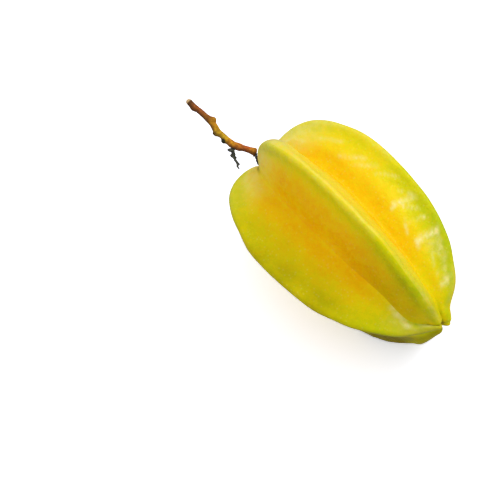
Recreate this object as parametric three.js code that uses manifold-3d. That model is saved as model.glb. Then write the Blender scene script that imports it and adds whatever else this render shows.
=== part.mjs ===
import * as THREE from 'three';
import { ParametricGeometry } from 'three/addons/geometries/ParametricGeometry.js';
import { mergeVertices } from 'three/addons/utils/BufferGeometryUtils.js';
import Module from 'manifold-3d';

// A whole star fruit (carambola) on the end of its twig, lying on two neighbouring ribs.
// Millimetres, +Z up, standing on z = 0.
//
// The fruit is drawn in its own frame: the core line runs along +X, from the stem pole to the blossom
// pole, and a rib's angle is measured around it from +Y towards +Z. The whole is then laid down.

const wasm = await Module();
wasm.setup();

const DEGREE = Math.PI / 180;

// How the fruit lies: the blossom end dips a little, and two ribs share the load.
const PITCH = 3.8 * DEGREE;
const ROLL = 6.5 * DEGREE;
const CORE_HEIGHT = 34.7;
const CENTRE = { x: -33.15, y: -0.42 };

// Half of a lengthwise outline, as [distance along the core, distance from it]: over a rib's crest,
// and along the valley between two ribs. Both start in the stem hollow and end in the blossom dimple.
const CREST = [
  [5.2, 0], [4.3, 3.6], [1.6, 8.0], [0, 12.5], [1.9, 21.0], [7.2, 28.3], [17, 34.2], [30, 38.1],
  [44, 39.0], [60, 37.8], [76, 34.2], [88.5, 28.0], [97.5, 21.0], [103.3, 13.6], [107.6, 5.9],
  [109.0, 2.8], [106.4, 0],
];
const VALLEY = [
  [5.2, 0], [4.6, 1.6], [3.9, 3.2], [3.6, 5.0], [5.0, 8.0], [10.0, 12.2], [19.5, 16.2], [31, 18.6],
  [44, 19.4], [60, 19.0], [76, 17.0], [88.5, 13.6], [97.0, 9.8], [102.3, 6.2], [105.0, 3.6],
  [106.2, 1.8], [106.4, 0],
];

// Each rib differs a little: its angle, how much fuller it is at the stem and at the blossom end, how
// far its two ends reach past the common outline, the neck behind its blossom tip (or the swelling, where
// its depth is below zero), and the extra lip of its stem lobe on the side of the rib before it.
// The valley after a rib can lean towards the next rib, by degrees, and rise, around one place.
const STRAIGHT = { lean: 0, rise: 0, at: 90, width: 20 };
const RIBS = [
  {
    angle: 26, stemFullness: 0, blossomFullness: 0.014, stemReach: -1.1, tipReach: -0.3,
    neck: { depth: 2.6, at: 104.5, width: 2.2 }, stemLip: 0,
    valley: { lean: 4, rise: -1, at: 78, width: 30 },
  },
  {
    angle: 90, stemFullness: -0.01, blossomFullness: 0.044, stemReach: -0.9, tipReach: -1.5,
    neck: { depth: 0.3, at: 102.5, width: 2.5 }, stemLip: 2.7,
    valley: { lean: 12.5, rise: 2.6, at: 101, width: 12 },
  },
  {
    angle: 161, stemFullness: -0.05, blossomFullness: -0.03, stemReach: -0.7, tipReach: 0.1,
    neck: { depth: 0.3, at: 102.5, width: 2.5 }, stemLip: 0, valley: STRAIGHT,
  },
  {
    angle: 241, stemFullness: 0, blossomFullness: 0.02, stemReach: 0.3, tipReach: 0.1,
    neck: { depth: -2.9, at: 102.5, width: 4.5 }, stemLip: 0, valley: STRAIGHT,
  },
  {
    angle: 312, stemFullness: 0, blossomFullness: 0, stemReach: 0.3, tipReach: 0.3,
    neck: { depth: 0.7, at: 102.5, width: 2.5 }, stemLip: 0, valley: STRAIGHT,
  },
];
const LIP = 2.0; // half the thickness of a rib's rounded edge
const FLANK_TAPER = 0.6; // share of its foot width that a flank loses steadily on the way out
const FLANK_SHOULDER = [0.3, 0.98]; // stretch, foot to edge, over which the rest of the width goes
const FILLET = 2.0; // rounding along the bottom of a valley
const BOW = 1.8; // sideways bow of the core in its blossom half

const RIB_STEPS = 12; // facets from valley to crest
const LENGTH_STEPS = 44; // facets from pole to pole

// Routes as [x, y, z, radius] rows, in the fruit's frame.
const TWIG = [
  [-43.0, -3.2, 3.5, 1.3], [-38.6, -3.1, 2.9, 1.3], [-34.8, -2.8, 2.5, 1.3], [-31.6, -2.7, 2.1, 1.4],
  [-28.8, -2.7, 1.8, 1.5], [-26.0, -3.2, 1.3, 1.5], [-23.2, -3.8, 0.8, 1.5], [-20.1, -3.7, 0.5, 1.4],
  [-17.3, -3.6, 0.2, 1.5], [-14.3, -3.4, 0, 1.65], [-11.7, -2.5, 0, 1.7], [-9.3, -1.3, 0, 1.4],
  [-6.9, -0.2, 0.1, 1.4], [-5.2, 0.5, 0.2, 1.75], [-3.9, 1.1, 0.3, 1.5],
];
const PEDICEL = [
  [-2.8, -0.3, 0, 0.45], [-1.5, -1.0, -0.4, 0.42], [0.4, -1.8, -0.7, 0.4], [2.8, -1.1, -0.4, 0.42],
  [4.65, 0, 0, 0.5],
];
const DRIED_STALK = [
  [-12.4, -5.2, -0.2, 0.8], [-11.3, -5.8, -0.9, 0.75], [-10.3, -6.6, -1.7, 0.7], [-9.0, -7.2, -2.3, 0.5],
  [-7.5, -7.5, -2.8, 0.55], [-6.6, -8.3, -3.5, 0.4], [-5.3, -8.6, -3.9, 0.3],
];

// Knobs on a route: share of the way along, degrees around from +Y over the top, height and spread.
const TWIG_KNOBS = [
  { along: 0.13, turn: 200, height: 0.6, spread: 1.4 },
  { along: 0.31, turn: 25, height: 1.3, spread: 1.5 },
  { along: 0.46, turn: 170, height: 1.1, spread: 1.2 },
  { along: 0.56, turn: 165, height: 1.0, spread: 1.1 },
  { along: 0.97, turn: 200, height: 0.6, spread: 0.9 },
];
const STALK_KNOBS = [
  { along: 0.06, turn: 120, height: 0.9, spread: 0.6 },
  { along: 0.3, turn: 150, height: 0.8, spread: 0.8 },
  { along: 0.7, turn: 350, height: 0.4, spread: 0.6 },
];

const outline = (rows) => new THREE.SplineCurve(rows.map(([x, y]) => new THREE.Vector2(x, y)));
const { smoothstep } = THREE.MathUtils;
const bell = (x, centre, width) => Math.exp(-(((x - centre) / width) ** 2));

const crestLine = outline(CREST);
const valleyLine = outline(VALLEY);

// The crest of one rib at a share v of the way from pole to pole.
function crestAt(rib, v) {
  const { x, y: radius } = crestLine.getPoint(v);
  const fullness = rib.stemFullness * bell(x, 12, 16) + rib.blossomFullness * bell(x, 90, 20);
  const stemShift = rib.stemReach * bell(x, 0, 10) * smoothstep(radius, 2, 14);
  const offPole = smoothstep(radius, 0.3, 2.5);
  const tipShift = rib.tipReach * smoothstep(x, 101, 107) * offPole;
  const neck = rib.neck.depth * bell(x, rib.neck.at, rib.neck.width) * offPole;
  return { x: x - stemShift + tipShift, radius: radius * (1 + fullness) - neck };
}

// The valley at a share v of the way, on one side of a rib, with the angle between it and that rib.
function valleyAt(index, side, v) {
  const rib = RIBS[index];
  const neighbour = RIBS[(index + side + RIBS.length) % RIBS.length];
  const { lean, rise, at, width } = (side < 0 ? neighbour : rib).valley;
  const gap = (side * (neighbour.angle - rib.angle) + 360) % 360;
  const { x, y: radius } = valleyLine.getPoint(v);
  const bend = bell(x, at, width);
  return {
    x,
    radius: radius + rise * bend * smoothstep(radius, 0, 9),
    angle: (gap / 2 + side * lean * bend) * DEGREE,
  };
}

// One side of a rib's cross-section: from the valley (share 0) to the crest (share 1), as the
// distance out along the rib's middle plane and the half thickness there.
function ribSide(share, crest, valley, lip) {
  const out = (1 - Math.cos(Math.PI * share)) / 2;
  const foot = valley.radius * Math.cos(valley.angle);
  const height = Math.max(crest.radius - foot, 1e-6);
  const edge = THREE.MathUtils.clamp((lip * 1.15) / height, 0.02, 0.6);
  const flank = (1 - FLANK_TAPER * out) * (1 - smoothstep(out, ...FLANK_SHOULDER));
  const past = Math.max(0, (out - 1 + edge) / edge);
  const bead = past > 0 ? Math.sqrt(Math.max(0, 1 - past * past)) : smoothstep(out, 0, 1 - edge);
  const thickness = share < 1 ? valley.radius * Math.sin(valley.angle) * flank + lip * bead : 0;
  return { out, radius: foot + (crest.radius - foot) * out, thickness };
}

// How far the valley's bottom is filled at a point of a rib's side.
function valleyFill({ radius, thickness }, valley) {
  const aside = Math.abs(radius * Math.sin(valley.angle) - thickness * Math.cos(valley.angle));
  const fillet = Math.max(FILLET * smoothstep(valley.radius, 2, 9), 1e-6);
  return 0.8 * fillet * Math.exp(-aside / fillet);
}

// The fruit's skin: u goes once around the five ribs, v from the stem pole to the blossom pole.
function fruitSkin(u, v, target) {
  const turn = u * RIBS.length;
  const index = Math.floor(turn) % RIBS.length;
  const share = 1 - Math.abs(2 * (turn - Math.floor(turn)) - 1);
  const side = turn - Math.floor(turn) < 0.5 ? -1 : 1;
  const rib = RIBS[index];

  const crest = crestAt(rib, v);
  const valley = valleyAt(index, side, v);
  const stemLip = side < 0 ? rib.stemLip * bell(crest.x, 8, 9) : 0;
  const lip = (LIP + stemLip) * smoothstep(crest.radius, 0, 6);
  const point = ribSide(share, crest, valley, lip);
  const fill = valleyFill(point, valley);
  const radius = point.radius + fill * Math.cos(valley.angle);
  const aside = side * (point.thickness + (share < 1 ? fill * Math.sin(valley.angle) : 0));

  const x = valley.x + (crest.x - valley.x) * point.out;
  const bow = BOW * smoothstep(x, 25, 92) * (1 - smoothstep(x, 98, 112));
  const angle = rib.angle * DEGREE;
  const y = radius * Math.cos(angle) - aside * Math.sin(angle);
  const z = radius * Math.sin(angle) + aside * Math.cos(angle);
  target.set(x, y - bow, z);
}

// A closed surface: its seam and poles are merged and the flat triangles at the poles dropped.
function closed(geometry) {
  geometry.deleteAttribute('normal');
  geometry.deleteAttribute('uv');
  const merged = mergeVertices(geometry, 1e-4);
  const triangles = [];
  const { array } = merged.index;
  for (let i = 0; i < array.length; i += 3) {
    const [a, b, c] = array.slice(i, i + 3);
    if (a !== b && b !== c && c !== a) triangles.push(a, b, c);
  }
  merged.setIndex(triangles);
  return merged;
}

function solid(geometry) {
  const triVerts = Uint32Array.from(geometry.index.array);
  const vertProperties = geometry.attributes.position.array;
  return new wasm.Manifold(new wasm.Mesh({ numProp: 3, vertProperties, triVerts }));
}

function fromSolid(body) {
  const { vertProperties, triVerts } = body.getMesh();
  const geometry = new THREE.BufferGeometry();
  geometry.setAttribute('position', new THREE.BufferAttribute(vertProperties, 3));
  geometry.setIndex(new THREE.BufferAttribute(triVerts, 1));
  return geometry;
}

// The fruit with the small flat spots where its two lowest ribs press on the ground.
function fruitGeometry(groundFromFruit) {
  const skin = closed(new ParametricGeometry(fruitSkin, 2 * RIB_STEPS * RIBS.length, LENGTH_STEPS));
  const ground = new THREE.BoxGeometry(300, 300, 40).translate(0, 0, -20);
  ground.applyMatrix4(groundFromFruit.clone().invert());
  return fromSolid(solid(skin).subtract(solid(closed(ground))));
}

// A round limb along a route, closed at both ends, with its knobs.
function limbGeometry(route, knobs, around, along) {
  const points = route.map(([x, y, z]) => new THREE.Vector3(x, y, z));
  const line = new THREE.CatmullRomCurve3(points, false, 'catmullrom');
  const girth = outline(route.map((row, i) => [i, row[3]]));
  const length = line.getLength();
  const up = new THREE.Vector3(0, 0, 1);

  const skin = (u, v, target) => {
    const t = (1 - Math.cos(Math.PI * v)) / 2;
    const radius = girth.getPoint(t).y;
    const toEnd = Math.min(t, 1 - t) * length;
    const cap = Math.sqrt(Math.max(0, 1 - Math.max(0, 1 - toEnd / (0.7 * radius)) ** 2));
    const turn = 360 * u;
    const knob = knobs.reduce((sum, { along: at, turn: angle, height, spread }) => {
      const away = THREE.MathUtils.euclideanModulo(turn - angle + 180, 360) - 180;
      return sum + height * bell((t - at) * length, 0, spread) * bell(away * DEGREE * radius, 0, spread);
    }, 0);
    const ahead = line.getTangent(t);
    const sideways = up.clone().cross(ahead).normalize();
    const upwards = ahead.clone().cross(sideways);
    target.copy(line.getPoint(t));
    target.addScaledVector(sideways, (radius + knob) * cap * Math.cos(turn * DEGREE));
    target.addScaledVector(upwards, (radius + knob) * cap * Math.sin(turn * DEGREE));
  };
  return closed(new ParametricGeometry(skin, around, along));
}

function mesh(name, geometry, material) {
  const result = new THREE.Mesh(geometry, new THREE.MeshStandardMaterial({ metalness: 0, ...material }));
  result.name = name;
  return result;
}

const lying = new THREE.Group();
lying.rotation.set(-ROLL, PITCH, 0, 'YXZ');
lying.position.set(CENTRE.x, CENTRE.y, CORE_HEIGHT);
lying.updateMatrix();
lying.add(
  mesh('fruit', fruitGeometry(lying.matrix), { color: 0xd8b916, roughness: 0.35 }),
  mesh('twig', limbGeometry(TWIG, TWIG_KNOBS, 14, 56), { color: 0x8a4a1c, roughness: 0.75 }),
  mesh('pedicel', limbGeometry(PEDICEL, [], 8, 20), { color: 0x1a120c, roughness: 0.8 }),
  mesh('dried_stalk', limbGeometry(DRIED_STALK, STALK_KNOBS, 10, 26), { color: 0x26281f, roughness: 0.9 }),
);

const starFruit = new THREE.Group();
starFruit.add(lying);

export default starFruit;
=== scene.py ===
"""A whole star fruit on the end of its twig, lying on two of its ribs on a pale table.

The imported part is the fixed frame. Each of its four nodes gets a finer skin here, in millimetres in the
fruit's own frame: the core line runs along +X from the stem pole to the blossom pole, and a rib's angle is
measured around it from +Y towards +Z. The skins follow the solids' own curves, with small differences: the
valleys' bottoms are softened, rib tips are fuller, thinner or set aside, and knobs and stalks are finer.
"""

import math

import bpy
import numpy as np
from mathutils import Matrix, Quaternion, Vector


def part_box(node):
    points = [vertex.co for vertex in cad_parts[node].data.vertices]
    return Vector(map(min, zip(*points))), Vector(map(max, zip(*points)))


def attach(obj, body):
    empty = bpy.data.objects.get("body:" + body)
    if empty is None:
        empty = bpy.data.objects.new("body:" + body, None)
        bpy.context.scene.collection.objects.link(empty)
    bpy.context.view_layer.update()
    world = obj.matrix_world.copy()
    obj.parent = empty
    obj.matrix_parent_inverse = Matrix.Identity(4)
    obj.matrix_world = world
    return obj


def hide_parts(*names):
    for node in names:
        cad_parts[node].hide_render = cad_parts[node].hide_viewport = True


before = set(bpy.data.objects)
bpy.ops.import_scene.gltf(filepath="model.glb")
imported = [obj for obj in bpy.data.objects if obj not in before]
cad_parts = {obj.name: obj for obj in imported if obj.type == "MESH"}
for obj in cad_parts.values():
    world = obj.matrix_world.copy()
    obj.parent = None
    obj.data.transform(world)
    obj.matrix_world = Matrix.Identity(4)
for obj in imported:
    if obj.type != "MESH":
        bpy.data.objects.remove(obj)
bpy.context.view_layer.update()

MM = 0.001

# ---------------------------------------------------------------- how the fruit lies

PITCH = math.radians(3.8)
ROLL = math.radians(6.5)
CORE_HEIGHT = 34.7
CENTRE = (-33.15, -0.42)
LYING = (
    Matrix.Translation((CENTRE[0], CENTRE[1], CORE_HEIGHT))
    @ Matrix.Rotation(PITCH, 4, "Y")
    @ Matrix.Rotation(-ROLL, 4, "X")
)

# ---------------------------------------------------------------- the fruit's dimensions

# Distance along the core and from it.
CREST = [
    (5.2, 0), (4.3, 3.6), (1.6, 8.0), (0, 12.5), (1.9, 21.0), (7.2, 28.3), (17, 34.2), (30, 38.1),
    (44, 39.0), (60, 37.8), (76, 34.2), (88.5, 28.0), (97.5, 21.0), (103.3, 13.6), (107.6, 5.9),
    (109.0, 2.8), (106.4, 0),
]
VALLEY = [
    (5.2, 0), (4.6, 1.6), (3.9, 3.2), (3.6, 5.0), (5.0, 8.0), (10.0, 12.2), (19.5, 16.2), (31, 18.6),
    (44, 19.4), (60, 19.0), (76, 17.0), (88.5, 13.6), (97.0, 9.8), (102.3, 6.2), (105.0, 3.6),
    (106.2, 1.8), (106.4, 0),
]

# One column a rib. Fullness is a share of the crest's radius, and angles and leans are in degrees. "Before"
# is the side towards the rib before it. A reach pushes an end of the rib outwards, and a lip thickens its
# edge. A neck draws the crest in by the blossom, or swells it where it is negative. A tip is set aside
# towards the next rib. Valley values are for the valley after the rib, which leans towards the next rib and
# rises over one stretch.
RIBS = {
    "angle": (26, 90, 161, 241, 312),
    "stem_fullness": (0, -0.01, -0.05, 0, 0),
    "blossom_fullness": (0.014, 0.044, -0.03, 0.05, 0),
    "stem_reach": (-1.1, -0.9, -0.7, 0.3, 0.3),
    "tip_reach": (0.2, -1.5, -0.15, -0.3, 0.3),
    "neck": (2.8, 0.3, 0.3, -4.2, 0.7),
    "neck_at": (104.9, 102.5, 102.5, 105.3, 102.5),
    "neck_width": (2.4, 2.5, 2.5, 3.4, 2.5),
    "stem_lip_before": (0, 2.7, 0, 0, 0),
    "tip_lip_before": (0, -0.8, 0, 0, 0),
    "tip_aside": (0, 1.4, -1.2, 0, 0),
    "valley_lean": (4, 12.5, 0, 0, 0),
    "valley_rise": (-1.0, 2.6, 0, 0, 0),
    "valley_bend_at": (78, 101, 90, 90, 90),
    "valley_bend_width": (30, 12, 20, 20, 20),
}
RIB_COUNT = 5

# A rib's edge is a bead of the lip's half thickness. It reaches in from the edge by the roundness times that,
# but by no less and no more of the flank than its two shares.
LIP = 2.0
BEAD_ROUNDNESS = 1.15
BEAD_SHARES = (0.02, 0.6)

# How much of the half thickness the flank's straight taper takes away.
FLANK_TAPER = 0.6

# How far a valley's fill reaches, and how deep it is at the bottom as a share of that.
FILLET = 2.0
FILL_DEPTH = 0.8

# How far the core bows towards -Y behind the blossom end.
BOW = 1.8

# A valley's softening: how often, its weight, and the two shares up the flank between which it dies out. Each
# pair is the value along the fruit and what the blossom end adds to it.
VALLEY_PASSES = 150
SOFT_WEIGHT = (0.4, 0.6)
SOFT_FROM = (0.25, 0.2)
SOFT_TO = (0.45, 0.3)

# The skin's steps across one side of a rib, and from pole to pole.
SIDE_STEPS = 42
LENGTH_STEPS = 200

# Places along the core with the half width of the bell that stands there.
BELLS = {
    "stem_fullness": (12, 16),
    "blossom_fullness": (90, 20),
    "stem_reach": (0, 10),
    "stem_lip": (8, 9),
    "cleft_shade": (3.5, 3.5),
    "scar": (107, 1.5),
}
SCAR_RADIUS = 1.1

# The two values between which each change comes in or dies out.
OVER = {
    # Distances along the core.
    "tip_reach": (101, 107),
    "tip_lip": (97, 104),
    "tip_aside": (68, 96),
    "bow": (25, 92),
    "bow_end": (98, 112),
    "tip_softening": (98, 104),
    "ripples": (6, 20),
    "ripples_end": (96, 106),
    "dimples": (3, 12),
    "dimples_end": (98, 106),
    "greener_valley": (72, 100),
    "greener_stem_end": (3, 26),
    "greener_tip_valley": (97, 105),
    "riper_tip": (96, 103),
    "greener_crest": (88, 99),
    # Where the painted shade comes in and weakens along the core.
    "shade_midway": (-10, 50),
    "shade_midway_end": (62, 94),
    "shade_by_blossom": (48, 100),
    "shade_weakens": (97, 103),
    "shade_at_tip": (101, 107),
    # Where the painted sheen over the stem end and its thin film die out along the core.
    "stem_sheen_end": (2, 23),
    "sheen_film_thins": (40, 60),
    "sheen_film_end": (98, 104),
    # Distances from the core.
    "stem_reach_off_pole": (2, 14),
    "tip_off_pole": (0.3, 2.5),
    "valley_rise_off_pole": (0, 9),
    "lip_off_pole": (0, 6),
    "fillet_off_pole": (2, 9),
    # Shares of the way out from the valley to the edge.
    "flank_shoulder": (0.3, 0.98),
    "ripples_off_valley": (0.2, 0.55),
    "ripples_off_edge": (0.9, 1),
    "dimples_off_valley": (0, 0.2),
    "crest": (0.9, 1),
    "cleft_shade_end": (0, 0.07),
    # Where the painted sheen keeps off the valley and thins out.
    "stem_sheen_off_valley": (-0.1, 0.2),
    "stem_sheen_thins": (0.45, 0.75),
    "sheen_film_off_valley": (0.1, 0.5),
}

# One column a flank: the two sides of each rib, before and after its crest. Unripe is 0 for deep orange to 1
# for green: in the valley and at the edge, by the stem and by the blossom, with the place along the core
# where the edge is halfway, and the two shares out between which the edge's colour comes in. The greener
# values are added over the stem end, in the valley by the tip and along the crest by the tip. Then painted
# shade, a dull darker olive where the flank lies in shade: how much midway, by the blossom and at the tip,
# and the two shares out between which it comes in. The last two are how far the stem end's painted sheen
# keeps off the outer flank, and a thin film of painted sheen over the whole flank.
FLANKS = {
    "valley_by_stem": (0.24, 0.23, 0.22, 0.08, 0.17, 0.15, 0.20, 0.14, 0.14, 0.14),
    "edge_by_stem": (0.64, 0.57, 0.50, 0.60, 0.68, 0.60, 0.60, 0.62, 0.60, 0.60),
    "valley_by_blossom": (0.50, 0.50, 0.45, 0.42, 0.78, 0.70, 0.75, 0.60, 0.50, 0.45),
    "edge_by_blossom": (0.95, 1.0, 0.76, 0.92, 0.86, 0.90, 0.90, 0.95, 0.90, 0.90),
    "edge_halfway": (59, 59, 86, 80, 86, 86, 86, 80, 70, 60),
    "edge_from": (0.25, 0.25, 0.10, 0.50, 0.20, 0.20, 0.20, 0.25, 0.25, 0.30),
    "edge_to": (0.95, 0.92, 0.90, 0.92, 0.95, 0.90, 0.90, 0.90, 0.90, 0.90),
    "greener_stem_end": (0.22, 0.22, 0.22, 0.42, 0.22, 0.22, 0.22, 0.22, 0.22, 0.22),
    "greener_tip_valley": (0, 0.25, 0.25, 0.25, 0.25, 0.25, 0.25, 0.25, 0.25, 0.25),
    "greener_crest": (-0.25, -0.25, 0.1, 0, 0.1, 0.15, 0.15, 0, -0.25, -0.25),
    "shade_midway": (0.1, 0, 0, 0, 0.42, 0.4, 0.3, 0.3, 0.2, 0.1),
    "shade_by_blossom": (0.1, 0, 0, 0.46, 0, 0.3, 1.0, 0.4, 0.3, 0.1),
    "shade_at_tip": (0, 0, 0, 0, 0.3, 0.15, 0.1, 0.1, 0, 0),
    "shade_from": (0, 0, 0, 0.99, 0, 0, 0.2, 0, 0, 0),
    "shade_to": (0.8, 0.8, 0.8, 0.72, 0.8, 0.8, 0.6, 0.8, 0.8, 0.8),
    "stem_sheen_inner": (0, 0, 0, 0.3, 0.8, 0.5, 0.5, 0.3, 0.3, 0.3),
    "sheen_film": (0.05, 0.02, 0.13, 0, 0, 0, 0, 0.02, 0.02, 0.02),
}

# The edge goes from its value by the stem to the one by the blossom over this length on each side of halfway.
EDGE_CHANGE = 28

# How much riper the tip is on its outer part, and how strong the painted sheen over the stem end is.
RIPER_TIP = 0.17
STEM_SHEEN = 0.46

# Strokes of painted highlight, pale streaks on the flanks: flank, then distance along the core and share out
# at both ends, half width in millimetres, and strength.
HIGHLIGHT_STROKES = [
    (1, 5, 0.42, 12, 0.38, 1.3, 0.28), (1, 17, 0.57, 25, 0.67, 1.0, 0.4), (1, 30, 0.43, 38, 0.66, 0.9, 0.5),
    (1, 37, 0.47, 44, 0.70, 0.8, 0.4), (1, 46, 0.58, 50, 0.73, 0.5, 0.45), (1, 50, 0.73, 54, 0.83, 0.45, 0.5),
    (1, 58.5, 0.69, 59.5, 0.73, 0.6, 0.5), (1, 62, 0.78, 65, 0.84, 0.9, 0.5),
    (1, 62.2, 0.39, 61.4, 0.47, 0.7, 0.9), (1, 61.4, 0.47, 62.5, 0.60, 0.9, 1.0),
    (1, 62.5, 0.60, 64, 0.74, 1.0, 0.85), (1, 64.6, 0.58, 69.3, 0.77, 0.6, 0.6),
    (1, 70.9, 0.50, 73.4, 0.76, 0.6, 0.35), (1, 73, 0.72, 74, 0.80, 0.7, 0.5),
    (1, 69.3, 0.47, 71.5, 0.40, 0.7, 0.4), (1, 71.5, 0.40, 73.6, 0.35, 0.7, 0.7),
    (1, 80.9, 0.37, 79.3, 0.42, 0.9, 0.9), (1, 79.3, 0.42, 79.3, 0.54, 1.3, 1.1),
    (1, 79.3, 0.54, 80.2, 0.70, 1.2, 0.8), (1, 80.2, 0.70, 81, 0.86, 1.1, 0.9),
    (1, 81, 0.84, 86.5, 0.80, 1.1, 0.6), (1, 86.5, 0.80, 88.5, 0.72, 1.0, 0.5),
    (1, 83, 0.62, 86, 0.66, 2.2, 0.35), (1, 86.8, 0.56, 90.3, 0.48, 0.7, 0.5),
    (1, 93.2, 0.47, 93.4, 0.50, 0.6, 0.8), (1, 97.7, 0.50, 98.2, 0.74, 1.1, 0.9),
    (1, 90, 0.80, 96, 0.66, 1.5, 0.35), (1, 8, 0.96, 45, 0.98, 1.6, 0.16), (4, 91, 0.05, 95, 0.12, 1.7, 0.9),
    (4, 96.8, 0.05, 100.3, 0.50, 1.2, 0.9), (4, 95, 0.45, 102, 0.60, 3.5, 0.14),
    (4, 102, 0.20, 106, 0.50, 3.0, 0.10), (4, 103.5, 0.10, 105, 0.45, 0.6, 0.5),
    (2, 97, 1.0, 106, 1.0, 1.4, 0.14), (3, 99, 1.0, 106, 1.0, 0.25, 0.12), (2, 20, 1.0, 70, 1.0, 1.2, 0.16),
    (3, 20, 1.0, 70, 1.0, 1.0, 0.14), (1, 97, 0.95, 103, 0.92, 1.6, 0.16),
]

# The ripples' lengths along the core with their weights, and how far they bend and wander, in millimetres.
RIPPLES = [(8.6, 0.5), (6.1, 0.35), (3.7, 0.25)]
RIPPLE_HEIGHT = 0.26
RIPPLE_BEND = 5
RIPPLE_WANDER = 1.6
DIMPLE_HEIGHT = 0.16

# ---------------------------------------------------------------- the twig's and stalks' routes

# Rows of x, y, z and radius, in the fruit's frame.
TWIG = [
    (-43.0, -3.2, 3.5, 1.3), (-38.6, -3.1, 2.9, 1.3), (-34.8, -2.8, 2.5, 1.3), (-31.6, -2.7, 2.1, 1.4),
    (-28.8, -2.7, 1.8, 1.5), (-26.0, -3.2, 1.3, 1.5), (-23.2, -3.8, 0.8, 1.5), (-20.1, -3.7, 0.5, 1.4),
    (-17.3, -3.6, 0.2, 1.5), (-14.3, -3.4, 0, 1.65), (-11.7, -2.5, 0, 1.7), (-9.3, -1.3, 0, 1.4),
    (-6.9, -0.2, 0.1, 1.4), (-5.2, 0.5, 0.2, 1.75), (-3.9, 1.1, 0.3, 1.5),
]
PEDICEL = [
    (-3.9, 0.6, 0.1, 0.6), (-2.8, -0.3, 0, 0.6), (-1.5, -1.0, -0.4, 0.6), (0.4, -1.8, -0.7, 0.55),
    (2.8, -1.1, -0.4, 0.5), (4.9, 0, 0, 0.5),
]
DRIED_STALK = [
    (-12.7, -4.0, 0.0, 0.85), (-12.3, -5.3, -0.3, 0.8), (-11.3, -5.8, -0.9, 0.75), (-10.3, -6.6, -1.7, 0.7),
    (-9.0, -7.2, -2.3, 0.5), (-7.5, -7.5, -2.8, 0.55), (-6.6, -8.3, -3.5, 0.4), (-5.3, -8.6, -3.9, 0.3),
]

# Knobs: share of the way along, degrees around from +Y over the top, height, spread, and how dark it is.
TWIG_KNOBS = [
    (0.075, 190, 0.7, 1.1, 0.2), (0.30, 25, 1.25, 1.25, 0.35), (0.434, 172, 1.35, 1.0, 0.8),
    (0.55, 168, 1.6, 1.0, 2.4), (0.97, 200, 0.6, 0.9, 0.5),
]
STALK_KNOBS = [
    (0.14, 180, 1.6, 0.42, 0), (0.36, 160, 1.0, 0.75, 0), (0.5, 330, 0.4, 0.6, 0), (0.76, 350, 0.65, 0.55, 0),
]

# How far along the twig its ring scars are, in millimetres, and the half width of one.
RING_SCARS = (4.6, 13.6, 19.8, 24.4, 31.0, 34.6, 37.4)
RING_SCAR_WIDTH = 0.22

# The length of a limb's rounded end, as a share of its radius, and the points its route is measured with.
ROUNDED_END = 0.7
MEASURING_STEPS = 400

# ---------------------------------------------------------------- curves and waves on whole arrays


def smoothstep(low, high, x):
    """0 below low, 1 above high, and the cubic 3t^2 - 2t^3 between."""
    t = np.clip((x - low) / (high - low), 0, 1)
    return t * t * (3 - 2 * t)


def comes_in(change, at):
    """The smoothstep from 0 to 1 over the stretch of a named change."""
    return smoothstep(*OVER[change], at)


def dies_out(change, at):
    """1 less the smoothstep over the stretch of a named change."""
    return 1 - smoothstep(*OVER[change], at)


def bell(x, centre, width):
    """exp(-((x - centre) / width)^2), a bump of height 1."""
    return np.exp(-(((x - centre) / width) ** 2))


def catmull_rom(rows, share, held_ends=True):
    """The uniform Catmull-Rom curve through the rows at each share, 0 to 1, of the way along.

    Each stretch is the cubic whose end slopes are half the step between the neighbouring rows. The row past
    an end is the end itself where ends are held, and otherwise its neighbour mirrored through it.
    """
    rows = np.array(rows, float)
    before, after = rows[0], rows[-1]
    if not held_ends:
        before, after = 2 * rows[0] - rows[1], 2 * rows[-1] - rows[-2]
    padded = np.vstack([before, rows, after])
    steps_in = np.clip(share, 0, 1) * (len(rows) - 1)
    first = np.minimum(steps_in.astype(int), len(rows) - 2)
    w = (steps_in - first)[..., None]
    p0, p1, p2, p3 = (padded[first + k] for k in range(4))
    slope1, slope2 = (p2 - p0) / 2, (p3 - p1) / 2
    cubic = (2 * p1 - 2 * p2 + slope1 + slope2) * w**3
    return cubic + (-3 * p1 + 3 * p2 - 2 * slope1 - slope2) * w**2 + slope1 * w + p1


def uneven(points, length, seed, count=14):
    """Soft random unevenness, about -1 to 1.

    The sum of sine waves in seeded directions, each of 0.7 to 1.4 times the length, over the root of their
    count.
    """
    random = np.random.default_rng(seed)
    directions = random.normal(size=(count, 3))
    directions /= np.linalg.norm(directions, axis=1, keepdims=True)
    lengths = length * random.uniform(0.7, 1.4, count)
    phases = random.uniform(0, 2 * np.pi, count)
    waves = np.sin(points @ (2 * np.pi * directions / lengths[:, None]).T + phases)
    return waves.sum(-1) / math.sqrt(count)


def outward(rings):
    """Unit normals of rings of points: the step around crossed with the step along."""
    around = np.roll(rings, -1, axis=1) - np.roll(rings, 1, axis=1)
    along = np.gradient(rings, axis=0)
    normals = np.cross(around, along)
    return normals / np.maximum(np.linalg.norm(normals, axis=-1, keepdims=True), 1e-9)


# ---------------------------------------------------------------- meshes


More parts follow.
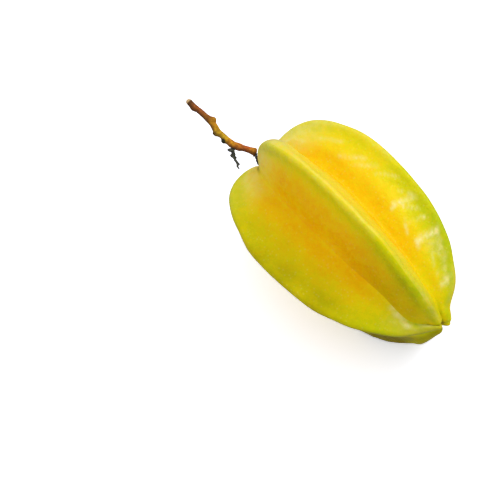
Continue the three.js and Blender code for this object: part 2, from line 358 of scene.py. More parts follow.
def closed_mesh(name, rings, values):
    """A closed smooth skin over rings of points in the fruit's frame, whose first and last ring are poles.

    values holds one number a point for each named attribute.
    """
    count, columns = rings.shape[:2]

    def without_poles(grid):
        return np.concatenate([grid[0, :1], grid[1:-1].reshape(-1, *grid.shape[2:]), grid[-1, :1]])

    points = without_poles(rings)
    turn = np.array(LYING)
    points = (points @ turn[:3, :3].T + turn[:3, 3]) * MM

    index = 1 + np.arange((count - 2) * columns).reshape(count - 2, columns)
    beside = np.roll(index, -1, axis=1)
    quads = np.stack([index[:-1], beside[:-1], beside[1:], index[1:]], -1).reshape(-1, 4)
    first = np.stack([np.zeros(columns, int), beside[0], index[0]], -1)
    last = np.stack([index[-1], beside[-1], np.full(columns, len(points) - 1)], -1)

    mesh = bpy.data.meshes.new(name)
    mesh.from_pydata(points, [], quads.tolist() + first.tolist() + last.tolist())
    for key, grid in values.items():
        stored = mesh.attributes.new(key, "FLOAT", "POINT")
        whole_grid = np.broadcast_to(grid, rings.shape[:2])
        stored.data.foreach_set("value", without_poles(whole_grid).astype(np.float32))
    mesh.shade_smooth()
    piece = bpy.data.objects.new(name, mesh)
    bpy.context.scene.collection.objects.link(piece)
    return piece


def stay_inside(piece, node):
    """Clips the skin to the box of the solid it stands for, which also gives it that solid's flat spots."""
    low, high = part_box(node)
    points = np.empty(3 * len(piece.data.vertices), np.float32)
    piece.data.vertices.foreach_get("co", points)
    points = np.clip(points.reshape(-1, 3), low, high)
    piece.data.vertices.foreach_set("co", points.ravel())
    piece.data.update()


def put_in_place(piece, node, material):
    """Gives the skin its material and lets it stand for the solid of a node."""
    piece.data.materials.append(material)
    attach(piece, "root")
    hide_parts(node)


# ---------------------------------------------------------------- the fruit's skin


def rib_columns(key, index):
    """The named value of each column's rib."""
    return np.array(RIBS[key], float)[index]


def flank_columns(key, index, side):
    """The named value of each column's flank."""
    return np.array(FLANKS[key], float)[2 * index + (side > 0)]


def crest_lines(along, index):
    """Distance along the core and from it, for each column's own crest at each share of the way.

    The common crest curve, fuller or leaner by a bell near each end, pushed out or in at both ends, and
    drawn in or swollen by a narrow bell behind the blossom tip.
    """
    common = catmull_rom(CREST, along)
    x, radius = common[..., 0], common[..., 1]
    fullness = rib_columns("stem_fullness", index) * bell(x, *BELLS["stem_fullness"])
    fullness = fullness + rib_columns("blossom_fullness", index) * bell(x, *BELLS["blossom_fullness"])
    stem_shift = rib_columns("stem_reach", index) * bell(x, *BELLS["stem_reach"])
    stem_shift = stem_shift * comes_in("stem_reach_off_pole", radius)
    off_pole = comes_in("tip_off_pole", radius)
    tip_shift = rib_columns("tip_reach", index) * comes_in("tip_reach", x) * off_pole
    neck = bell(x, rib_columns("neck_at", index), rib_columns("neck_width", index)) * off_pole
    return x - stem_shift + tip_shift, radius * (1 + fullness) - rib_columns("neck", index) * neck


def fruit_rings(side_steps, length_steps):
    """The fruit's skin as rings around the core, with the numbers that its materials read.

    Across a rib, a share runs from 0 in the valley to 1 on the crest, and the cosine (1 - cos(pi share)) / 2
    of it is how far out the point is. The half thickness there is the foot's, tapered by a straight line and
    a smoothstep, plus a rounded bead of the lip's thickness at the edge. The valley's bottom is filled by an
    exponential of the distance from the plane between the two ribs, and no half thickness goes past that
    plane. Tips are set aside in proportion to how far out the point is. The core bows sideways. Last, the
    valleys are softened, and the relief moves each point along its normal.
    """
    turn = np.arange(2 * side_steps * RIB_COUNT) / (2 * side_steps)
    index = turn.astype(int)
    across = turn - index
    share = 1 - np.abs(2 * across - 1)
    side = np.where(across < 0.5, -1, 1)
    angle = rib_columns("angle", index)
    neighbour = rib_columns("angle", (index + side) % RIB_COUNT)
    valley_of = np.where(side < 0, index - 1, index) % RIB_COUNT

    along = np.linspace(0, 1, length_steps + 1)[:, None] + np.zeros_like(turn)
    crest_x, crest_radius = crest_lines(along, index)
    valley = catmull_rom(VALLEY, along)
    valley_x, valley_radius = valley[..., 0], valley[..., 1]
    bend_width = rib_columns("valley_bend_width", valley_of)
    bend = bell(valley_x, rib_columns("valley_bend_at", valley_of), bend_width)
    lean = side * rib_columns("valley_lean", valley_of) * bend
    half = np.radians(((side * (neighbour - angle)) % 360) / 2 + lean)
    rise = rib_columns("valley_rise", valley_of) * bend * comes_in("valley_rise_off_pole", valley_radius)
    valley_radius = valley_radius + rise

    out = (1 - np.cos(np.pi * share)) / 2 + np.zeros_like(along)
    foot = valley_radius * np.cos(half)
    height = crest_radius - foot
    stem_lip = np.where(side < 0, rib_columns("stem_lip_before", index), 0)
    tip_lip = np.where(side < 0, rib_columns("tip_lip_before", index), 0)
    lip = LIP + stem_lip * bell(crest_x, *BELLS["stem_lip"]) + tip_lip * comes_in("tip_lip", crest_x)
    lip = lip * comes_in("lip_off_pole", crest_radius)
    edge = np.clip(lip * BEAD_ROUNDNESS / np.maximum(height, 1e-6), *BEAD_SHARES)
    flank = (1 - FLANK_TAPER * out) * dies_out("flank_shoulder", out)
    past = np.clip((out - 1 + edge) / edge, 0, 1)
    bead = np.where(past > 0, np.sqrt(1 - past**2), smoothstep(0, 1 - edge, out))
    radius = foot + height * out
    thickness = np.where(share < 1, valley_radius * np.sin(half) * flank + lip * bead, 0)

    fillet = np.maximum(FILLET * comes_in("fillet_off_pole", valley_radius), 1e-6)
    from_plane = np.abs(radius * np.sin(half) - thickness * np.cos(half))
    fill = FILL_DEPTH * fillet * np.exp(-from_plane / fillet)
    radius = radius + fill * np.cos(half)
    thickness = thickness + np.where(share < 1, fill * np.sin(half), 0)
    thickness = np.minimum(thickness, radius * np.tan(half))

    x = valley_x + (crest_x - valley_x) * out
    thickness = side * thickness + rib_columns("tip_aside", index) * comes_in("tip_aside", x) * out
    bow = BOW * comes_in("bow", x) * dies_out("bow_end", x)
    turned = np.radians(angle)
    y = radius * np.cos(turned) - thickness * np.sin(turned) - bow
    z = radius * np.sin(turned) + thickness * np.cos(turned)
    rings = soften_valleys(np.stack([x, y, z], -1), share)
    rings = rings + outward(rings) * fruit_relief(rings, x, out, index, side)[..., None]
    values = {
        # Besides unripeness these carry painted shade, painted highlights and sheen, and the scar.
        "unripe": unripe(rings, x, out, index, side),
        "painted_shade": painted_shade(rings, x, out, index, side),
        "painted_sheen": sheen_and_highlights(rings, x, out, height, index, side),
        "scar": bell(x, *BELLS["scar"]) * bell(radius, 0, SCAR_RADIUS),
    }
    return rings, values


def soften_valleys(rings, share):
    """Moves the points near a valley's bottom towards the mean of their neighbours on the ring, many times.

    A point moves by half a weight, which falls by a smoothstep of its share up the flank. By the blossom end
    the weight is larger and falls off further up.
    """
    tip = comes_in("tip_softening", rings[..., 0])
    weight, start, end = (value + added * tip for value, added in (SOFT_WEIGHT, SOFT_FROM, SOFT_TO))
    weight = (weight * (1 - smoothstep(start, end, share)))[..., None]
    for _ in range(VALLEY_PASSES):
        mean = (np.roll(rings, 1, axis=1) + np.roll(rings, -1, axis=1)) / 2
        rings = rings + weight * (mean - rings) / 2
    return rings


def fruit_relief(rings, x, out, index, side):
    """Low relief on the flanks: ripples that run from valley to crest, and broad shallow dimples.

    The ripples are sines of the distance along the core, in three lengths, with a seeded phase for each
    flank. They bend by the square of the share out from the middle of the flank, and wander a little. Both
    kinds of relief are made uneven and die out at the ends.
    """
    random = np.random.default_rng(5)
    flank = 2 * index + (side > 0)
    bent = x + RIPPLE_BEND * (out - 0.5) ** 2 + RIPPLE_WANDER * uneven(rings, length=22, seed=3)
    ripples = 0
    for length, weight in RIPPLES:
        phase = random.uniform(0, 2 * np.pi, 2 * RIB_COUNT)[flank]
        ripples = ripples + weight * np.sin(2 * np.pi * bent / length + phase)
    strength = 0.55 + 0.45 * uneven(rings, length=30, seed=8)
    where = comes_in("ripples_off_valley", out) * dies_out("ripples_off_edge", out)
    where = where * comes_in("ripples", x) * dies_out("ripples_end", x)
    dimples = DIMPLE_HEIGHT * uneven(rings, length=13, seed=12)
    dimples = dimples * comes_in("dimples_off_valley", out) * comes_in("dimples", x)
    return RIPPLE_HEIGHT * ripples * strength * where + dimples * dies_out("dimples_end", x)


def unripe(rings, x, out, index, side):
    """How green the skin still is, from 0 for deep orange over yellow to 1 for green.

    The valley's value goes by a smoothstep along the fruit from its value by the stem to the one by the
    blossom, the edge's value does the same over its own stretch, and a smoothstep of how far out the point
    is leads from the one to the other. Added to that are the stem end, the valley and the crest by the tip,
    and soft patches of two sizes. The tip's outer part is riper.
    """
    start, end = flank_columns("valley_by_stem", index, side), flank_columns("valley_by_blossom", index, side)
    valley = start + (end - start) * comes_in("greener_valley", x)
    start, end = flank_columns("edge_by_stem", index, side), flank_columns("edge_by_blossom", index, side)
    halfway = flank_columns("edge_halfway", index, side)
    edge = start + (end - start) * smoothstep(-EDGE_CHANGE, EDGE_CHANGE, x - halfway)
    low, high = flank_columns("edge_from", index, side), flank_columns("edge_to", index, side)
    value = valley + (edge - valley) * smoothstep(0, 1, (out - low) / (high - low))
    stem_end = flank_columns("greener_stem_end", index, side)
    tip = flank_columns("greener_tip_valley", index, side)
    crest = flank_columns("greener_crest", index, side)
    value = value + stem_end * dies_out("greener_stem_end", x) * (1 - 0.6 * out)
    value = value + tip * comes_in("greener_tip_valley", x) * (1 - out)
    value = value - RIPER_TIP * comes_in("riper_tip", x) * out
    value = value + crest * comes_in("greener_crest", x) * comes_in("crest", out)
    value = value + 0.035 * uneven(rings, length=14, seed=21) + 0.02 * uneven(rings, length=4, seed=22)
    return np.clip(value, 0, 1)


def cleft_shade(x, out):
    """Painted shade, 1 at the bottom of the valleys where they leave the stem hollow.

    A bell along the core and a falling smoothstep of how far out the point is.
    """
    return bell(x, *BELLS["cleft_shade"]) * dies_out("cleft_shade_end", out)


def painted_shade(rings, x, out, index, side):
    """Painted shade: how far each flank darkens to a dull olive, midway, by the blossom end and at the tip.

    A flank's amounts come and go by smoothsteps along the core. They come in across the flank over its own
    two shares out, a little unevenly. The clefts get the painted shade in full throughout.
    """
    midway = comes_in("shade_midway", x) * dies_out("shade_midway_end", x)
    most = flank_columns("shade_midway", index, side) * midway
    at_end = comes_in("shade_by_blossom", x) * (1 - 0.5 * comes_in("shade_weakens", x))
    most = most + flank_columns("shade_by_blossom", index, side) * at_end
    low, high = flank_columns("shade_from", index, side), flank_columns("shade_to", index, side)
    value = most * smoothstep(0, 1, (out - low) / (high - low))
    value = value * (1 + 0.15 * uneven(rings, length=12, seed=27))
    value = value + flank_columns("shade_at_tip", index, side) * comes_in("shade_at_tip", x)
    # The clefts add their painted shade in full.
    return np.clip(value + cleft_shade(x, out), 0, 1)


def sheen_and_highlights(rings, x, out, height, index, side):
    """Painted highlights and sheen, pale on the skin: in broken strokes, thinly over the stem end,
    and as a faint film.

    A stroke is a bell of the distance to a straight line on its flank, in millimetres along the core and
    across a flank of the given height. The rest comes and goes by smoothsteps.
    """
    flank = 2 * index + (side > 0)
    across = out * height
    strokes = 0
    for where, x0, out0, x1, out1, width, strength in HIGHLIGHT_STROKES:
        along, up = x1 - x0, (out1 - out0) * height
        share = np.clip(((x - x0) * along + (across - out0 * height) * up) / (along**2 + up**2), 0, 1)
        away = np.hypot(x - x0 - share * along, across - out0 * height - share * up)
        strokes = strokes + np.where(flank == where, strength * bell(away, 0, width), 0)
    strokes = strokes * (0.75 + 0.35 * uneven(rings, length=2.4, seed=31))
    outer = 1 - flank_columns("stem_sheen_inner", index, side) * comes_in("stem_sheen_thins", out)
    stem_end = STEM_SHEEN * dies_out("stem_sheen_end", x) * comes_in("stem_sheen_off_valley", out) * outer
    sheen_film = flank_columns("sheen_film", index, side) * comes_in("sheen_film_off_valley", out)
    sheen_film = sheen_film * (1 - 0.3 * comes_in("sheen_film_thins", x)) * dies_out("sheen_film_end", x)
    total = sheen_film + strokes + stem_end * (0.85 + 0.2 * uneven(rings, length=9, seed=33))
    return np.clip(total * (1 - cleft_shade(x, out)), 0, 1)


# ---------------------------------------------------------------- twig and stalks


def limb_rings(route, knobs, around, along_steps, relief):
    """A round limb along a route, with knobs, as rings from end to end.

    Rings stand at (1 - cos(pi v)) / 2 of the way, so they crowd towards the ends, where a quarter-ellipse
    closes the limb. A knob adds a bell of the distance from its own place. relief(along, turn, length) adds
    low relief, in millimetres. A painted shade is a smoothstep towards the side that faces -Y.
    """
    share = (1 - np.cos(np.pi * np.linspace(0, 1, along_steps + 1)))[:, None] / 2
    turn = np.linspace(0, 360, around, endpoint=False)[None, :]
    rows = catmull_rom(route, share[:, 0], held_ends=False)
    centre = rows[:, :3]
    radius = catmull_rom(route, share[:, 0])[:, 3:]
    measured = catmull_rom(route, np.linspace(0, 1, MEASURING_STEPS), held_ends=False)[:, :3]
    length = np.linalg.norm(np.diff(measured, axis=0), axis=1).sum()

    ahead = np.gradient(centre, axis=0)
    ahead /= np.linalg.norm(ahead, axis=1, keepdims=True)
    sideways = np.cross((0, 0, 1), ahead)
    sideways /= np.linalg.norm(sideways, axis=1, keepdims=True)
    upwards = np.cross(ahead, sideways)

    to_end = np.minimum(share, 1 - share) * length
    cap = np.sqrt(np.maximum(0, 1 - np.maximum(0, 1 - to_end / (ROUNDED_END * radius)) ** 2))
    knob = dark = np.zeros((along_steps + 1, around))
    for at, angle, height, width, darkness in knobs:
        away = np.radians((turn - angle + 180) % 360 - 180) * radius
        bump_here = bell((share - at) * length, 0, width) * bell(away, 0, width)
        knob = knob + height * bump_here
        dark = dark + darkness * bump_here

    reach = (radius + knob + relief(share, turn, length)) * cap
    turned = np.radians(turn)
    rings = (
        centre[:, None, :]
        + sideways[:, None, :] * (reach * np.cos(turned))[..., None]
        + upwards[:, None, :] * (reach * np.sin(turned))[..., None]
    )
    return rings, {"along": share, "bud": dark, "painted_side_shade": smoothstep(0.1, 1.0, -np.cos(turned))}


def bark_relief(along, turn, length):
    """Long shallow grooves that wind around the twig, a slow swelling, and a few ring scars.

    The grooves and the swelling are sines of the turn and the distance along, and a scar is a bell of it.
    """
    turned = np.radians(turn)
    distance = along * length
    grooves = 0.035 * np.sin(7 * turned + 0.35 * distance) + 0.02 * np.sin(13 * turned - 0.5 * distance)
    scars = sum(bell(distance, at, RING_SCAR_WIDTH) for at in RING_SCARS)
    return grooves + 0.05 * np.sin(1.3 * distance + 2 * turned) - 0.09 * scars


def withered_relief(along, turn, length):
    """Deep wrinkles: a product of two sines of the turn and the distance along, and a third sine added."""
    turned = np.radians(turn)
    distance = along * length
    wrinkles = 0.1 * np.sin(4 * turned + 1.1 * distance) * np.sin(2.3 * distance)
    return wrinkles + 0.06 * np.sin(4.1 * distance + turned)


# ---------------------------------------------------------------- material nodes


def fill_sockets(tree, made, sockets):
    """Gives each named or numbered socket its value, or links it to the output it is given."""
    for key, value in sockets.items():
        if isinstance(value, bpy.types.NodeSocket):
            tree.links.new(value, made.inputs[key])
        else:
            made.inputs[key].default_value = value


def place(tree, kind, sockets=None, **settings):
    """Adds a node with its settings and its sockets' values or links."""
    made = tree.nodes.new(kind)
    for key, value in settings.items():
        setattr(made, key, value)
    fill_sockets(tree, made, sockets or {})
    return made


def use(tree, group, **sockets):
    """Places a node group with its values and returns its outputs."""
    made = tree.nodes.new("ShaderNodeGroup")
    made.node_tree = group
    fill_sockets(tree, made, sockets)
    return made.outputs


def math_node(tree, operation, *values, clamp=False):
    """The result of one operation on numbers or outputs."""
    made = place(tree, "ShaderNodeMath", dict(enumerate(values)), operation=operation, use_clamp=clamp)
    return made.outputs[0]


def noise(tree, here, scale, detail):
    """Soft noise of about 0 to 1."""
    sockets = {"Vector": here, "Scale": scale, "Detail": detail}
    return place(tree, "ShaderNodeTexNoise", sockets).outputs["Fac"]


def spread(tree, value, low, high, to_low=0.0, to_high=1.0):
    """Maps low..high to to_low..to_high along a smooth curve."""
    sockets = {"Value": value, "From Min": low, "From Max": high, "To Min": to_low, "To Max": to_high}
    return place(tree, "ShaderNodeMapRange", sockets, interpolation_type="SMOOTHSTEP").outputs["Result"]


def ramp(tree, value, stops):
    """Colours along a value, from (position, linear colour) stops."""
    made = place(tree, "ShaderNodeValToRGB", {"Fac": value})
    elements = made.color_ramp.elements
    elements[0].position, elements[1].position = stops[0][0], stops[-1][0]
    elements[0].color, elements[1].color = (*stops[0][1], 1), (*stops[-1][1], 1)
    for position, colour in stops[1:-1]:
        elements.new(position).color = (*colour, 1)
    return made.outputs["Color"]


def mix_colour(tree, share, first, second):
    """Goes from the first colour to the second by a share of 0 to 1."""
    made = place(tree, "ShaderNodeMix", data_type="RGBA")
    for socket, value in ((made.inputs[0], share), (made.inputs[6], first), (made.inputs[7], second)):
        if isinstance(value, bpy.types.NodeSocket):
            tree.links.new(value, socket)
        else:
            socket.default_value = (*value, 1)
    return made.outputs[2]


def scaled(tree, value, amount):
    """The value times the amount."""
    return math_node(tree, "MULTIPLY", value, amount)


def attribute(tree, name):
    """A number that is stored at the points of the mesh."""
    return place(tree, "ShaderNodeAttribute", attribute_name=name).outputs["Fac"]


def bump(tree, height, distance, normal=None):
    """Turns a height of 0 to 1 into a normal, with the full height as a distance in metres."""
    made = place(tree, "ShaderNodeBump", {"Height": height, "Distance": distance})
    if normal:
        tree.links.new(normal, made.inputs["Normal"])
    return made.outputs["Normal"]


def new_group(name, inputs, outputs):
    """A shader node group with named sockets. Returns it with what it is given and what it gives back.

    It always has a Vector to read from. inputs holds the starting value of each of its numbers, and outputs
    the kind of each of its outputs.
    """
    group = bpy.data.node_groups.new(name, "ShaderNodeTree")
    group.interface.new_socket("Vector", in_out="INPUT", socket_type="NodeSocketVector")
    for label, value in inputs.items():
        socket = group.interface.new_socket(label, in_out="INPUT", socket_type="NodeSocketFloat")
        socket.default_value = value
    for label, kind in outputs.items():
        group.interface.new_socket(label, in_out="OUTPUT", socket_type=kind)
    given = group.nodes.new("NodeGroupInput").outputs
    return group, given, group.nodes.new("NodeGroupOutput").inputs


def patches_group():
    """Soft patches: two sizes of noise, the finer one a third as strong, stretched to fill 0 to 1.

    The stretch is a smoothstep around 0.665, narrower the sharper the patches are.
    """
    numbers = {"Scale": 60.0, "Sharpness": 0.2}
    group, given, result = new_group("soft patches", numbers, {"Mask": "NodeSocketFloat"})
    broad = noise(group, given["Vector"], given["Scale"], 3.0)
    finer = noise(group, given["Vector"], scaled(group, given["Scale"], 4.3), 2.0)
    total = math_node(group, "MULTIPLY_ADD", finer, 0.33, broad)
    low = math_node(group, "MULTIPLY_ADD", given["Sharpness"], 0.4, 0.45)
    high = math_node(group, "SUBTRACT", 1.33, low)
    group.links.new(spread(group, total, low, high), result["Mask"])
    return group


def specks_group():
    """Small round specks scattered at random: the middles of Voronoi cells, some left out."""
    numbers = {"Scale": 900.0, "Size": 0.25, "Share": 0.5}
    group, given, result = new_group("specks", numbers, {"Mask": "NodeSocketFloat"})
    cells = place(group, "ShaderNodeTexVoronoi", {"Vector": given["Vector"], "Scale": given["Scale"]}).outputs
    inside = math_node(group, "SUBTRACT", given["Size"], cells["Distance"])
    dot = math_node(group, "DIVIDE", inside, given["Size"], clamp=True)
    chance = place(group, "ShaderNodeSeparateColor", {"Color": cells["Color"]}).outputs["Red"]
    kept = math_node(group, "LESS_THAN", chance, given["Share"])
    group.links.new(math_node(group, "MULTIPLY", dot, kept), result["Mask"])
    return group


def grain_group():
    """Fine woody grain: one noise that is both the relief and, stretched by a smoothstep, the roughness."""
    numbers = {"Scale": 1400.0, "Detail": 3.0, "Smoothest": 0.5, "Roughest": 0.8, "Height": 0.0002}
    kinds = {"Roughness": "NodeSocketFloat", "Normal": "NodeSocketVector"}
    group, given, result = new_group("woody grain", numbers, kinds)
    grain = noise(group, given["Vector"], given["Scale"], given["Detail"])
    roughness = spread(group, grain, 0.3, 0.7, given["Smoothest"], given["Roughest"])
    group.links.new(roughness, result["Roughness"])
    group.links.new(bump(group, grain, given["Height"]), result["Normal"])
    return group


def new_material(name):
    """An empty material with its nodes and its Principled shader's inputs."""
    material = bpy.data.materials.new(name)
    material.use_nodes = True
    tree = material.node_tree
    return material, tree, tree.nodes["Principled BSDF"].inputs


def own_coordinates(tree):
    """The place on the piece, in its own coordinates."""
    return tree.nodes.new("ShaderNodeTexCoord").outputs["Object"]


# ---------------------------------------------------------------- materials

# The skin's colours from ripe to unripe.
RIPENESS = [
    (0.0, (0.93, 0.465, 0.001)), (0.1, (0.94, 0.53, 0.001)), (0.2, (0.94, 0.585, 0.002)),
    (0.4, (0.90, 0.665, 0.003)), (0.55, (0.82, 0.68, 0.003)), (0.7, (0.70, 0.645, 0.003)),
    (0.85, (0.60, 0.605, 0.003)), (1.0, (0.48, 0.56, 0.004)),
]
# The pale colour of the painted highlights and sheen, which the real pale specks share.
PALE_SHEEN_AND_SPECKS = (0.92, 0.84, 0.32)
# The dull olive that the painted shade darkens towards.
SHADE_OLIVE = (0.25, 0.195, 0.001)
SCAR_BROWN = (0.22, 0.09, 0.01)

# How much greener the skin gets with broad patches and fine mottling, and how much riper it is on the whole.
PATCHES_GREENER = 0.06
MOTTLING_GREENER = 0.08
RIPER_OVERALL = 0.07

# How much the painted sheen covers between and on its streaks, and how strong the pale and brown specks are.
STREAKED_SHEEN = (0.6, 0.95)
PALE_SPECKS = 0.16
RUSSET_SPECKS = 0.4

# The skin's roughness from sheen to dull, its clear coat where bare and what full painted sheen adds to
# it, and the full depth of dents and pores in metres.
SKIN_ROUGHNESS = (0.3, 0.44)
BARE_COAT = 0.02
SHEEN_COAT = 0.3
DENT_DEPTH = 0.00045
PORE_DEPTH = 0.00009


def fruit_material(patches, specks):
    """Ripeness from orange to green, painted shade, streaked painted highlights and two kinds of specks."""
    material, tree, shader = new_material("waxy fruit skin")
    here = own_coordinates(tree)

    tone = use(tree, patches, Vector=here, Scale=60.0, Sharpness=0.1)["Mask"]
    mottling = use(tree, patches, Vector=here, Scale=380.0, Sharpness=0.5)["Mask"]
    unripe_here = math_node(tree, "SUBTRACT", attribute(tree, "unripe"), RIPER_OVERALL)
    unripe_here = math_node(tree, "MULTIPLY_ADD", tone, PATCHES_GREENER, unripe_here)
    unripe_here = math_node(tree, "MULTIPLY_ADD", mottling, MOTTLING_GREENER, unripe_here)
    colour = ramp(tree, unripe_here, RIPENESS)
    # Painted shade: darker towards a dull olive where the flanks lie in shade.
    colour = mix_colour(tree, attribute(tree, "painted_shade"), colour, SHADE_OLIVE)

    # Painted highlights and sheen: pale colour, broken up into streaks.
    streaks = use(tree, patches, Vector=here, Scale=420.0, Sharpness=0.25)["Mask"]
    sheen_here = scaled(tree, attribute(tree, "painted_sheen"), spread(tree, streaks, 0.0, 1.0, *STREAKED_SHEEN))
    colour = mix_colour(tree, sheen_here, colour, PALE_SHEEN_AND_SPECKS)
    pale = use(tree, specks, Vector=here, Scale=800.0, Size=0.4, Share=0.35)["Mask"]
    colour = mix_colour(tree, scaled(tree, pale, PALE_SPECKS), colour, PALE_SHEEN_AND_SPECKS)
    russet = use(tree, specks, Vector=here, Scale=260.0, Size=0.07, Share=0.08)["Mask"]
    colour = mix_colour(tree, scaled(tree, russet, RUSSET_SPECKS), colour, SCAR_BROWN)
    colour = mix_colour(tree, attribute(tree, "scar"), colour, SCAR_BROWN)
    tree.links.new(colour, shader["Base Color"])

    sheen_patches = use(tree, patches, Vector=here, Scale=160.0, Sharpness=0.2)["Mask"]
    tree.links.new(spread(tree, sheen_patches, 0.0, 1.0, *SKIN_ROUGHNESS), shader["Roughness"])
    tree.links.new(math_node(tree, "MULTIPLY_ADD", sheen_here, SHEEN_COAT, BARE_COAT), shader["Coat Weight"])

    dents = bump(tree, noise(tree, here, 330.0, 2.0), DENT_DEPTH)
    pores = bump(tree, noise(tree, here, 1500.0, 2.0), PORE_DEPTH, normal=dents)
    tree.links.new(pores, shader["Normal"])

    shader["Subsurface Weight"].default_value = 0.25
    shader["Subsurface Radius"].default_value = (1.0, 0.5, 0.08)
    shader["Subsurface Scale"].default_value = 0.004
    shader["Specular IOR Level"].default_value = 0.22
    shader["Specular Tint"].default_value = (1.0, 0.85, 0.05, 1)
    shader["Coat Roughness"].default_value = 0.22
    return material


# Along the twig, from the cut end to the pedicel.
BARK_ALONG = [
    (0.0, (0.20, 0.070, 0.012)), (0.12, (0.33, 0.085, 0.010)), (0.22, (0.32, 0.105, 0.006)),
    (0.32, (0.52, 0.22, 0.004)), (0.40, (0.62, 0.34, 0.004)), (0.50, (0.58, 0.36, 0.006)),
    (0.58, (0.72, 0.36, 0.004)), (0.66, (0.62, 0.22, 0.008)), (0.76, (0.54, 0.13, 0.016)),
    (0.86, (0.56, 0.12, 0.014)), (0.93, (0.60, 0.24, 0.012)), (1.0, (0.36, 0.11, 0.01)),
]
BARK_BLOTCH = (0.16, 0.05, 0.006)
# A dark brown for the painted shade on the twig's side facing -Y, and for the dark rim by the cut end.
BARK_SHADE_AND_RIM = (0.055, 0.024, 0.006)
LENTICEL = (0.60, 0.38, 0.08)
BUD_GREEN = (0.018, 0.020, 0.006)
CUT_WOOD = (0.62, 0.42, 0.20)

# The shares of the way along the twig between which the dark rim and the pale cut end fade out.
DARK_RIM_UNTIL = (0.03, 0.07)
CUT_END_UNTIL = (0.018, 0.029)

# How far the colours wander along the twig, and how strong each of its marks is.
BARK_WANDER = 0.06
BLOTCHES = 0.45
# The strength of the painted shade on the twig's side facing -Y.
SIDE_SHADE = 0.7
LENTICELS = 0.4
DARK_RIM = 0.6


def bark_material(patches, specks, grain):
    """Bark coloured along the twig, with blotches, lenticels, painted shade on one side, dark buds and a cut
    end.
    """
    material, tree, shader = new_material("young bark")
    here = own_coordinates(tree)
    along = attribute(tree, "along")
    tone = use(tree, patches, Vector=here, Scale=300.0, Sharpness=0.3)["Mask"]
    centred = math_node(tree, "SUBTRACT", along, BARK_WANDER / 2)
    wandering = math_node(tree, "MULTIPLY_ADD", tone, BARK_WANDER, centred)
    colour = ramp(tree, wandering, BARK_ALONG)
    blotches = use(tree, patches, Vector=here, Scale=700.0, Sharpness=0.5)["Mask"]
    colour = mix_colour(tree, scaled(tree, blotches, BLOTCHES), colour, BARK_BLOTCH)
    # Painted shade on the side of the twig that faces -Y.
    painted_side_shade = scaled(tree, attribute(tree, "painted_side_shade"), SIDE_SHADE)
    colour = mix_colour(tree, painted_side_shade, colour, BARK_SHADE_AND_RIM)
    lenticels = use(tree, specks, Vector=here, Scale=900.0, Size=0.3, Share=0.25)["Mask"]
    colour = mix_colour(tree, scaled(tree, lenticels, LENTICELS), colour, LENTICEL)
    colour = mix_colour(tree, spread(tree, attribute(tree, "bud"), 0.1, 0.9), colour, BUD_GREEN)
    near, far = DARK_RIM_UNTIL
    colour = mix_colour(tree, spread(tree, along, far, near, 0.0, DARK_RIM), colour, BARK_SHADE_AND_RIM)
    near, far = CUT_END_UNTIL
    colour = mix_colour(tree, spread(tree, along, far, near), colour, CUT_WOOD)
    tree.links.new(colour, shader["Base Color"])

    rough = use(tree, grain, Vector=here, Scale=1400.0, Detail=4.0, Roughest=0.75, Height=0.00025)
    tree.links.new(rough["Roughness"], shader["Roughness"])
    tree.links.new(rough["Normal"], shader["Normal"])
    shader["Specular IOR Level"].default_value = 0.2
    return material


# Two dark tones and the full depth of the grain, in metres.
BLACK_STALK = ((0.004, 0.003, 0.002), (0.015, 0.010, 0.006), 0.00015)
WITHERED_STALK = ((0.012, 0.014, 0.011), (0.07, 0.075, 0.055), 0.0003)


def stalk_material(name, patches, grain, dark, light, height):
    """A dull dried stalk: two dark tones in small patches, with a rough surface."""
    material, tree, shader = new_material(name)
    here = own_coordinates(tree)
    tone = use(tree, patches, Vector=here, Scale=600.0, Sharpness=0.4)["Mask"]
    tree.links.new(mix_colour(tree, tone, dark, light), shader["Base Color"])
    rough = use(tree, grain, Vector=here, Scale=2200.0, Smoothest=0.6, Roughest=0.9, Height=height)
    tree.links.new(rough["Roughness"], shader["Roughness"])
    tree.links.new(rough["Normal"], shader["Normal"])
    return material


# ---------------------------------------------------------------- table, lights and camera

# The camera sees a table so bright that it goes white right up to the contact shadow. The fruit gets the
# light of a plain grey one.
TABLE_SEEN = (1.7, 1.71, 1.85)
TABLE_BOUNCE = (0.3, 0.3, 0.3)
TABLE_HALF_WIDTH = 4.0

ROOM_BRIGHTNESS = 0.78
LAMP_DIRECTION = (0.0, 0.77, 0.64)

CAMERA_PLACE = (0.2615, -0.0998, 0.6816)
CAMERA_AIM = (-0.0072, -0.0326, 0.0347)
CAMERA_ROLL = math.radians(32.4)
SENSOR_WIDTH = 36
FOCAL_LENGTH = 119.4


def make_table():
    """A flat square under the fruit."""
    half = TABLE_HALF_WIDTH
    corners = [(-half, -half, 0), (half, -half, 0), (half, half, 0), (-half, half, 0)]
    mesh = bpy.data.meshes.new("table")
    mesh.from_pydata(corners, [], [(0, 1, 2, 3)])
    table = bpy.data.objects.new("table", mesh)
    bpy.context.scene.collection.objects.link(table)
    material, tree, shader = new_material("pale table")
    seen = tree.nodes.new("ShaderNodeLightPath").outputs["Is Camera Ray"]
    tree.links.new(mix_colour(tree, seen, TABLE_BOUNCE, TABLE_SEEN), shader["Base Color"])
    shader["Roughness"].default_value = 0.6
    mesh.materials.append(material)


def make_softbox(name, direction, distance, size, power):
    """A square lamp in a direction from the fruit, facing it."""
    lamp = bpy.data.lights.new(name, "AREA")
    lamp.size = size
    lamp.energy = power
    holder = bpy.data.objects.new(name, lamp)
    bpy.context.scene.collection.objects.link(holder)
    towards = Vector(direction).normalized()
    holder.location = towards * distance
    holder.rotation_euler = towards.to_track_quat("Z", "Y").to_euler()


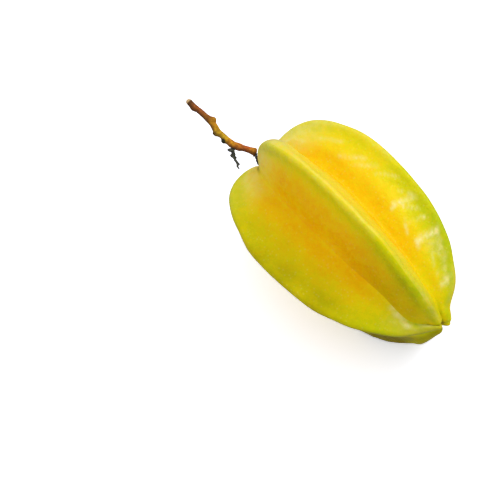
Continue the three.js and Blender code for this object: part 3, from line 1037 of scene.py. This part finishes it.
def make_light():
    """An even pale room, with one soft lamp from the side."""
    world = bpy.data.worlds.new("pale room")
    world.use_nodes = True
    background = world.node_tree.nodes["Background"].inputs
    background["Color"].default_value = (1, 1, 1, 1)
    background["Strength"].default_value = ROOM_BRIGHTNESS
    bpy.context.scene.world = world
    make_softbox("window side", LAMP_DIRECTION, distance=1.3, size=0.6, power=6.2)


def make_camera():
    """A long lens from above, turned about its own line of sight."""
    lens = bpy.data.cameras.new("camera")
    lens.sensor_width = SENSOR_WIDTH
    lens.lens = FOCAL_LENGTH
    camera = bpy.data.objects.new("camera", lens)
    bpy.context.scene.collection.objects.link(camera)
    camera.location = CAMERA_PLACE
    camera.rotation_mode = "QUATERNION"
    straight = (Vector(CAMERA_AIM) - Vector(CAMERA_PLACE)).to_track_quat("-Z", "Y")
    camera.rotation_quaternion = straight @ Quaternion((0, 0, 1), -CAMERA_ROLL)
    bpy.context.scene.camera = camera


# ---------------------------------------------------------------- the whole


def make_star_fruit():
    """The four skins with their materials, each in the place of its solid."""
    patches = patches_group()
    specks = specks_group()
    grain = grain_group()

    fruit = closed_mesh("fruit_skin", *fruit_rings(SIDE_STEPS, LENGTH_STEPS))
    stay_inside(fruit, "fruit")
    put_in_place(fruit, "fruit", fruit_material(patches, specks))

    bark_rings = limb_rings(TWIG, TWIG_KNOBS, around=64, along_steps=420, relief=bark_relief)
    twig = closed_mesh("twig_bark", *bark_rings)
    stay_inside(twig, "twig")
    put_in_place(twig, "twig", bark_material(patches, specks, grain))

    pedicel_rings = limb_rings(PEDICEL, [], around=32, along_steps=120, relief=withered_relief)
    pedicel = closed_mesh("black_pedicel", *pedicel_rings)
    black = stalk_material("black stalk", patches, grain, *BLACK_STALK)
    put_in_place(pedicel, "pedicel", black)

    stalk_rings = limb_rings(DRIED_STALK, STALK_KNOBS, around=40, along_steps=200, relief=withered_relief)
    stalk = closed_mesh("withered_stalk", *stalk_rings)
    withered = stalk_material("withered stalk", patches, grain, *WITHERED_STALK)
    put_in_place(stalk, "dried_stalk", withered)


bpy.context.scene.view_settings.view_transform = "Standard"
make_star_fruit()
make_table()
make_light()
make_camera()
